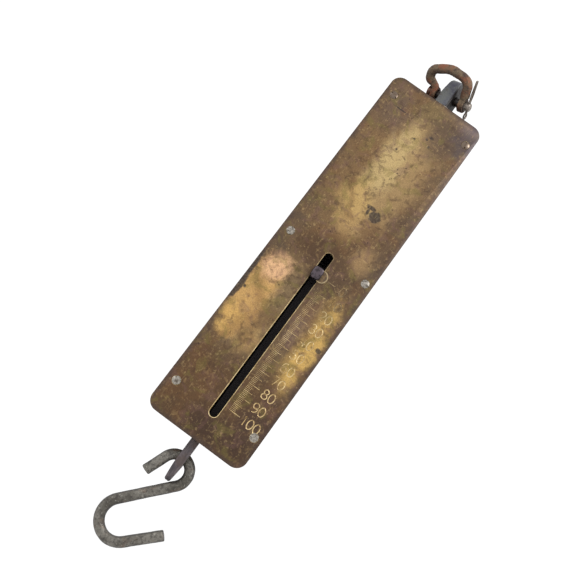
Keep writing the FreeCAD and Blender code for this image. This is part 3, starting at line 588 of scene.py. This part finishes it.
def node_copy(node, name, edge):
    """A copy of a CAD node's mesh with its sharp edges rounded."""
    mesh = frame["nodes"][node].data.copy()
    shape = bmesh.new()
    shape.from_mesh(mesh)
    bmesh.ops.remove_doubles(shape, verts=shape.verts, dist=APART)
    bmesh.ops.dissolve_limit(shape, angle_limit=FLAT_WITHIN, verts=shape.verts, edges=shape.edges)
    shape.to_mesh(mesh)
    shape.free()
    mesh.shade_smooth()
    copy = new_object(name, mesh)
    bevel = copy.modifiers.new("edge", "BEVEL")
    bevel.width = edge
    bevel.segments = BEVEL_SEGMENTS
    bevel.limit_method = "ANGLE"
    bevel.angle_limit = BEVEL_ABOVE
    bevel.use_clamp_overlap = True
    bevel.harden_normals = True
    applied(copy)
    return copy


def forged_copy(node, name, voxel, smooth, rough, seed):
    """A copy of a CAD node as a smith leaves it: edges melted together, the surface uneven."""
    copy = new_object(name, frame["nodes"][node].data.copy())
    remesh = copy.modifiers.new("remesh", "REMESH")
    remesh.mode = "VOXEL"
    remesh.voxel_size = voxel
    soften = copy.modifiers.new("soften", "SMOOTH")
    soften.factor = 0.5
    soften.iterations = smooth
    applied(copy)
    uneven(copy.data, rough, seed)
    for face in copy.data.polygons:
        face.use_smooth = True
    return copy


def uneven(mesh, depth, seed):
    """Moves points inward by a smooth random amount, up to depth."""
    offset = Vector((seed * 3.1, seed * 1.7, seed * 2.3))
    normals = [point.normal.copy() for point in mesh.vertices]
    for point, normal in zip(mesh.vertices, normals):
        wide = noise.noise(point.co * 220 + offset)
        close = noise.noise(point.co * 700 + offset)
        point.co -= normal * depth * (0.5 + 0.7 * wide + 0.3 * close)


def dress(piece, body, slot, material, *nodes):
    """Gives a piece its material, its body and the CAD nodes it stands for; slot is not used."""
    piece.data.materials.clear()
    piece.data.materials.append(material)
    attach(piece, body)
    if nodes:
        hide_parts(*nodes)
    return piece


def paint(node, material):
    """Gives a CAD node that stays its material."""
    mesh = frame["nodes"][node].data
    mesh.materials.clear()
    mesh.materials.append(material)


# Face -----------------------------------------------------------------------------------------------

def rounded_outline(low_x, high_x, low_z, high_z, radius):
    """Points round a rectangle with round corners, in X and Z, anticlockwise."""
    corners = ((high_x - radius, low_z + radius, -90), (high_x - radius, high_z - radius, 0),
               (low_x + radius, high_z - radius, 90), (low_x + radius, low_z + radius, 180))
    points = []
    for x, z, start in corners:
        for step in range(CORNER_STEPS + 1):
            turn = math.radians(start + 90 * step / CORNER_STEPS)
            points.append((x + radius * math.cos(turn), z + radius * math.sin(turn)))
    return points


def layered_prism(name, layers):
    """A closed solid from outlines of equal length, given as (y, points), front to back."""
    shape = bmesh.new()
    rings = [[shape.verts.new((x, y, z)) for x, z in points] for y, points in layers]
    count = len(rings[0])
    for front, back in zip(rings, rings[1:]):
        for i in range(count):
            j = (i + 1) % count
            shape.faces.new((front[i], front[j], back[j], back[i]))
    shape.faces.new(list(reversed(rings[0])))
    shape.faces.new(rings[-1])
    bmesh.ops.recalc_face_normals(shape, faces=shape.faces)
    mesh = bpy.data.meshes.new(name)
    shape.to_mesh(mesh)
    shape.free()
    return new_object(name, mesh)


def face_blank():
    """The brass sheet with a softly rounded front edge."""
    layers = []
    depth = FACE_HIGH.y - FACE_LOW.y
    for inset, y in ((FACE_EDGE, 0), (0.3 * FACE_EDGE, 0.3 * FACE_EDGE), (0, FACE_EDGE), (0, depth)):
        outline = rounded_outline(FACE_LOW.x + inset, FACE_HIGH.x - inset,
                                  FACE_LOW.z + inset, FACE_HIGH.z - inset, FACE_CORNER - inset)
        layers.append((FACE_LOW.y + y, outline))
    return layered_prism("brass_face", layers)


def slot_cutter():
    """The pointer slot's shape, wider at the front where its rim is chamfered."""
    half = SLOT_WIDTH / 2
    low = ZERO.z - SLOT_BELOW_ZERO
    high = ZERO.z + SLOT_ABOVE_ZERO
    layers = []
    for grow, y in ((SLOT_CHAMFER + MM, -MM), (0, SLOT_CHAMFER), (0, SLOT_CUT_DEPTH)):
        left = ZERO.x - half - grow
        right = ZERO.x + half + grow
        outline = rounded_outline(left, right, low - grow, high + grow, half + grow - APART)
        layers.append((FACE_LOW.y + y, outline))
    return layered_prism("slot_cutter", layers)


def screw_places():
    """The middles of the face screws, from the CAD node's separate heads."""
    low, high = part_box("face_screws")
    columns = (low.x + SCREW_HEAD_RADIUS, high.x - SCREW_HEAD_RADIUS)
    rows = (low.z + SCREW_HEAD_RADIUS, (low.z + high.z) / 2, high.z - SCREW_HEAD_RADIUS)
    return [Vector((x, FACE_LOW.y, z)) for x in columns for z in rows]


def cone(name, place, back_radius, front_radius, depth):
    """A cone along Y around a place, or a cylinder when both radii are the same."""
    shape = bmesh.new()
    bmesh.ops.create_cone(shape, cap_ends=True, segments=HOLE_SIDES, radius1=back_radius, radius2=front_radius,
                          depth=depth)
    mesh = bpy.data.meshes.new(name)
    shape.to_mesh(mesh)
    shape.free()
    thing = new_object(name, mesh)
    thing.matrix_world = Matrix.Translation(place) @ Matrix.Rotation(math.radians(90), 4, "X")
    return thing


def screw_cutters():
    """A sink for the head and a hole for the shank at each face screw."""
    small, large, depth, shift = SCREW_SINK
    cutters = []
    for place in screw_places():
        cutters.append(cone("screw_sink", place + Vector((0, shift, 0)), small, large, depth))
        cutters.append(cone("screw_drill", place, SCREW_HOLE_RADIUS, SCREW_HOLE_RADIUS, SCREW_DRILL_DEPTH))
    return cutters


def groove(name, points, radius):
    """A round-bottomed cutter that follows points on the face."""
    line = bpy.data.curves.new(name, "CURVE")
    line.dimensions = "3D"
    line.bevel_depth = radius
    line.bevel_resolution = 1
    line.use_fill_caps = True
    run = line.splines.new("POLY")
    run.points.add(len(points) - 1)
    for knot, place in zip(run.points, points):
        knot.co = (*place, 1.0)
    return applied_curve(new_object(name, line))


def applied_curve(thing):
    """Replaces a curve object by a mesh object of the same shape."""
    mesh = bpy.data.meshes.new_from_object(thing.evaluated_get(bpy.context.evaluated_depsgraph_get()))
    name = thing.name
    bpy.data.objects.remove(thing)
    return new_object(name, mesh)


def arc(centre, size, start, end, steps=14):
    """Points of an elliptic arc in a numeral's unit box; angles in degrees."""
    points = []
    for step in range(steps + 1):
        turn = math.radians(start + (end - start) * step / steps)
        points.append((centre[0] + size[0] * math.cos(turn), centre[1] + size[1] * math.sin(turn)))
    return points


def numeral_strokes(digit):
    """The engraver's strokes of a digit, in a box from (0, 0) to (1, 1)."""
    strokes = {
        "0": [arc((0.5, 0.5), (0.5, 0.5), 90, 450, 26)],
        "1": [[(0.22, 0.80), (0.5, 1.0), (0.5, 0.0)]],
        "2": [arc((0.5, 0.72), (0.46, 0.28), 165, -25) + [(0.05, 0.0), (0.98, 0.0)]],
        "3": [arc((0.45, 0.76), (0.42, 0.24), 150, -90), arc((0.45, 0.27), (0.50, 0.27), 85, -155)],
        "4": [[(0.95, 0.30), (0.02, 0.30), (0.68, 1.0), (0.68, 0.0)]],
        "5": [[(0.92, 1.0), (0.20, 1.0), (0.12, 0.55)] + arc((0.45, 0.31), (0.50, 0.31), 125, -150)],
        "6": [arc((0.62, 0.55), (0.60, 0.45), 75, 180) + arc((0.50, 0.29), (0.48, 0.29), 180, 540, 22)],
        "7": [[(0.04, 1.0), (0.96, 1.0), (0.40, 0.0)]],
        "8": [arc((0.5, 0.76), (0.40, 0.24), -90, 270, 22), arc((0.5, 0.26), (0.50, 0.26), 90, 450, 22)],
        "9": [arc((0.50, 0.71), (0.48, 0.29), 0, 360, 22) + arc((0.38, 0.45), (0.60, 0.45), 0, -105)],
    }
    return strokes[digit]


def numeral_cutters():
    """Cutters for 0, 10, ... 100 beside their graduations."""
    cutters = []
    for unit in range(0, SCALE_UNITS + 1, 10):
        text = str(unit)
        base = ZERO.z - unit * SCALE_STEP - NUMERAL_HEIGHT / 2
        for digit, place in zip(text, NUMERAL_PLACES[len(text)]):
            left = FACE_LOW.x + place - NUMERAL_WIDTH / 2
            for stroke in numeral_strokes(digit):
                points = [(left + x * NUMERAL_WIDTH, FACE_LOW.y, base + z * NUMERAL_HEIGHT)
                          for x, z in stroke]
                cutters.append(groove("numeral", points, NUMERAL_STROKE))
    return cutters


def tick_cutters():
    """Cutters for the graduations, longer and wider at every fifth and tenth."""
    cutters = []
    for unit in range(SCALE_UNITS + 1):
        end, radius = TICKS[next(size for size in (10, 5, 1) if unit % size == 0)]
        z = ZERO.z - unit * SCALE_STEP
        points = [(FACE_LOW.x + x, FACE_LOW.y, z) for x in (TICK_START, end)]
        cutters.append(groove("tick", points, radius))
    return cutters


def joined(name, things):
    """One object from several, its parts left separate inside the mesh."""
    shape = bmesh.new()
    for thing in things:
        thing.data.transform(thing.matrix_world)
        shape.from_mesh(thing.data)
        bpy.data.objects.remove(thing)
    mesh = bpy.data.meshes.new(name)
    shape.to_mesh(mesh)
    shape.free()
    return new_object(name, mesh)


def cut(thing, cutter, material):
    """Cuts cutter out of thing; the new walls take the cutter's material."""
    cutter.data.materials.clear()
    cutter.data.materials.append(material)
    tool = thing.modifiers.new("cut", "BOOLEAN")
    tool.operation = "DIFFERENCE"
    tool.solver = "EXACT"
    tool.material_mode = "TRANSFER"
    tool.object = cutter
    tool.use_self = True
    applied(thing)
    bpy.data.objects.remove(cutter)


def brass_face():
    """The brass face: a blank, then its slot, screw holes, graduations and numerals cut out of it."""
    bright = bright_brass_material()
    face = face_blank()
    face.data.materials.append(brass_face_material())
    cut(face, slot_cutter(), bright)
    cut(face, joined("screw_cutters", screw_cutters()), bright)
    cut(face, joined("tick_cutters", tick_cutters()), bright)
    cut(face, joined("numeral_cutters", numeral_cutters()), bright)
    shade_by_angle(face.data, 30)
    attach(face, "case")
    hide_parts("front_plate")
    return face


# Springs --------------------------------------------------------------------------------------------

def tube(name, path, radius):
    """A closed round tube along a dense path."""
    shape = bmesh.new()
    rings = []
    up = None
    for i, place in enumerate(path):
        ahead = (path[min(i + 1, len(path) - 1)] - path[max(i - 1, 0)]).normalized()
        if up is None:
            up = ahead.orthogonal().normalized()
        up = (up - ahead * up.dot(ahead)).normalized()
        side = ahead.cross(up)
        ring = []
        for k in range(WIRE_SIDES):
            turn = 2 * math.pi * k / WIRE_SIDES
            ring.append(shape.verts.new(place + (up * math.cos(turn) + side * math.sin(turn)) * radius))
        rings.append(ring)
    for first, second in zip(rings, rings[1:]):
        for k in range(WIRE_SIDES):
            after = (k + 1) % WIRE_SIDES
            shape.faces.new((first[k], first[after], second[after], second[k]))
    shape.faces.new(list(reversed(rings[0])))
    shape.faces.new(rings[-1])
    bmesh.ops.recalc_face_normals(shape, faces=shape.faces)
    mesh = bpy.data.meshes.new(name)
    shape.to_mesh(mesh)
    shape.free()
    for face in mesh.polygons:
        face.use_smooth = True
    return new_object(name, mesh)


def end_loop(axis, middle_z, way):
    """Most of a turn in the YZ plane, round a point on the spring's axis; way is 1 up or -1 down."""
    path = []
    for step in range(LOOP_STEPS + 1):
        turn = math.radians(LOOP_SPREAD * (2 * step / LOOP_STEPS - 1))
        y = axis.y - SPRING_LOOP * math.sin(turn)
        path.append(Vector((axis.x, y, middle_z + way * SPRING_LOOP * math.cos(turn))))
    return path


def spring_path(node):
    """Loop, close-wound coils, loop: one wire inside the CAD spring's box."""
    low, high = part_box(node)
    axis = middle_of(node)
    radius = (high.x - low.x) / 2 - SPRING_WIRE / 2
    coil_top = high.z - 2 * SPRING_LOOP - SPRING_WIRE
    coil_bottom = low.z + 2 * SPRING_LOOP + SPRING_WIRE
    turns = int((coil_top - coil_bottom) / (SPRING_WIRE * SPRING_PITCH))
    path = end_loop(axis, high.z - SPRING_WIRE / 2 - SPRING_LOOP, 1)
    for step in range(turns * TURN_STEPS + 1):
        turn = 2 * math.pi * step / TURN_STEPS + math.pi / 2
        z = coil_top + (coil_bottom - coil_top) * step / (turns * TURN_STEPS)
        path.append(Vector((axis.x + radius * math.cos(turn), axis.y - radius * math.sin(turn), z)))
    return path + end_loop(axis, low.z + SPRING_WIRE / 2 + SPRING_LOOP, -1)


def springs():
    """Both springs, which run between the case and the drawbar."""
    material = spring_material()
    for node in ("left_spring", "right_spring"):
        piece = tube("coiled_" + node, spring_path(node), SPRING_WIRE / 2)
        piece.data.materials.append(material)
        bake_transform(piece)
        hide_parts(node)


# Other pieces ---------------------------------------------------------------------------------------

def shackle_and_swivel():
    """The hanging end: forged shackle and swivel, pin, split pin, collar and washer."""
    bright = worn_steel_material("pin_steel", shade(132, 122, 112), shade(84, 74, 66))
    shackle = forged_copy("shackle_bow", "forged_shackle", 0.35 * MM, 10, 0.35 * MM, 1)
    dress(shackle, "shackle", "rusty_iron", rust_material(), "shackle_bow")
    swivel = forged_copy("swivel_eye", "forged_swivel", 0.35 * MM, 6, 0.25 * MM, 2)
    dress(swivel, "swivel", "dark_steel", slate_steel_material(), "swivel_eye")
    paint("shackle_pin", pin_material())
    paint("cotter_pin", bright)
    paint("collar_pin", bright)
    paint("swivel_washer", bright)
    paint("swivel_collar", slate_steel_material())


def case_parts():
    """The iron frame behind the face, with its screws and the drawbar's guide bush."""
    iron = dark_frame_material()
    for node in ("left_rail", "right_rail", "top_block", "bottom_block", "back_plate"):
        dress(node_copy(node, "finished_" + node, 0.35 * MM), "case", "cast_frame", iron, node)
    for node in ("left_hanger", "right_hanger", "hanger_pins"):
        paint(node, iron)
    paint("guide_bush", bright_brass_material())
    paint("face_screws", screw_material())
    paint("back_screws", worn_steel_material("back_screw_steel", shade(120, 112, 104), shade(80, 72, 66)))


def drawbar_and_hook():
    """The moving end: drawbar, crosshead, pointer and S-hook."""
    steel = drawbar_material()
    for node in ("drawbar", "crosshead"):
        dress(node_copy(node, "finished_" + node, 0.4 * MM), "drawbar", "dark_steel", steel, node)
    paint("drawbar_rivets", steel)
    paint("pointer", worn_steel_material("pointer_steel", shade(92, 82, 88), shade(50, 45, 48)))
    paint("pointer_index", leaf_material())
    hook = forged_copy("s_hook", "bent_hook", 0.4 * MM, 3, 0.15 * MM, 3)
    dress(hook, "hook", "hook_steel", hook_steel_material(), "s_hook")


# Stage ----------------------------------------------------------------------------------------------

def camera():
    """The camera: level, then turned, lifted and rolled."""
    data = bpy.data.cameras.new("camera")
    data.lens = CAMERA_LENS
    data.sensor_width = 36.0
    eye = new_object("camera", data)
    level = math.cos(CAMERA_LIFT)
    forward = Vector((-math.sin(CAMERA_TURN) * level, math.cos(CAMERA_TURN) * level, math.sin(CAMERA_LIFT)))
    right = forward.cross(Vector((0, 0, 1))).normalized()
    up = right.cross(forward)
    upright = Matrix((right, up, -forward)).transposed()
    eye.matrix_world = (Matrix.Translation(FACE_MIDDLE + CAMERA_OFFSET)
                        @ (upright @ Matrix.Rotation(CAMERA_ROLL, 3, "Z")).to_4x4())
    bpy.context.scene.camera = eye


def soft_light(name, place, target, size, power):
    """A square lamp that faces target."""
    data = bpy.data.lights.new(name, "AREA")
    data.size = size
    data.energy = power
    lamp = new_object(name, data)
    lamp.location = place
    lamp.rotation_euler = (Vector(target) - Vector(place)).to_track_quat("-Z", "Y").to_euler()


def stage():
    """White surroundings, two soft lamps and a pale floor."""
    world = bpy.data.worlds.new("studio")
    bpy.context.scene.world = world
    world.use_nodes = True
    background = world.node_tree.nodes["Background"]
    background.inputs["Color"].default_value = (1.0, 1.0, 1.0, 1.0)
    background.inputs["Strength"].default_value = WORLD_LIGHT
    for name, offset, size, power in LIGHTS:
        soft_light(name, FACE_MIDDLE + Vector(offset), FACE_MIDDLE, size, power)
    shape = bmesh.new()
    bmesh.ops.create_grid(shape, x_segments=1, y_segments=1, size=6.0)
    mesh = bpy.data.meshes.new("floor")
    shape.to_mesh(mesh)
    shape.free()
    floor = new_object("floor", mesh)
    floor.location = (0, 0, FACE_LOW.z - FLOOR_BELOW)
    mesh.materials.append(floor_material())
    bpy.context.scene.view_settings.view_transform = "Standard"


camera()
stage()
brass_face()
springs()
shackle_and_swivel()
case_parts()
drawbar_and_hook()
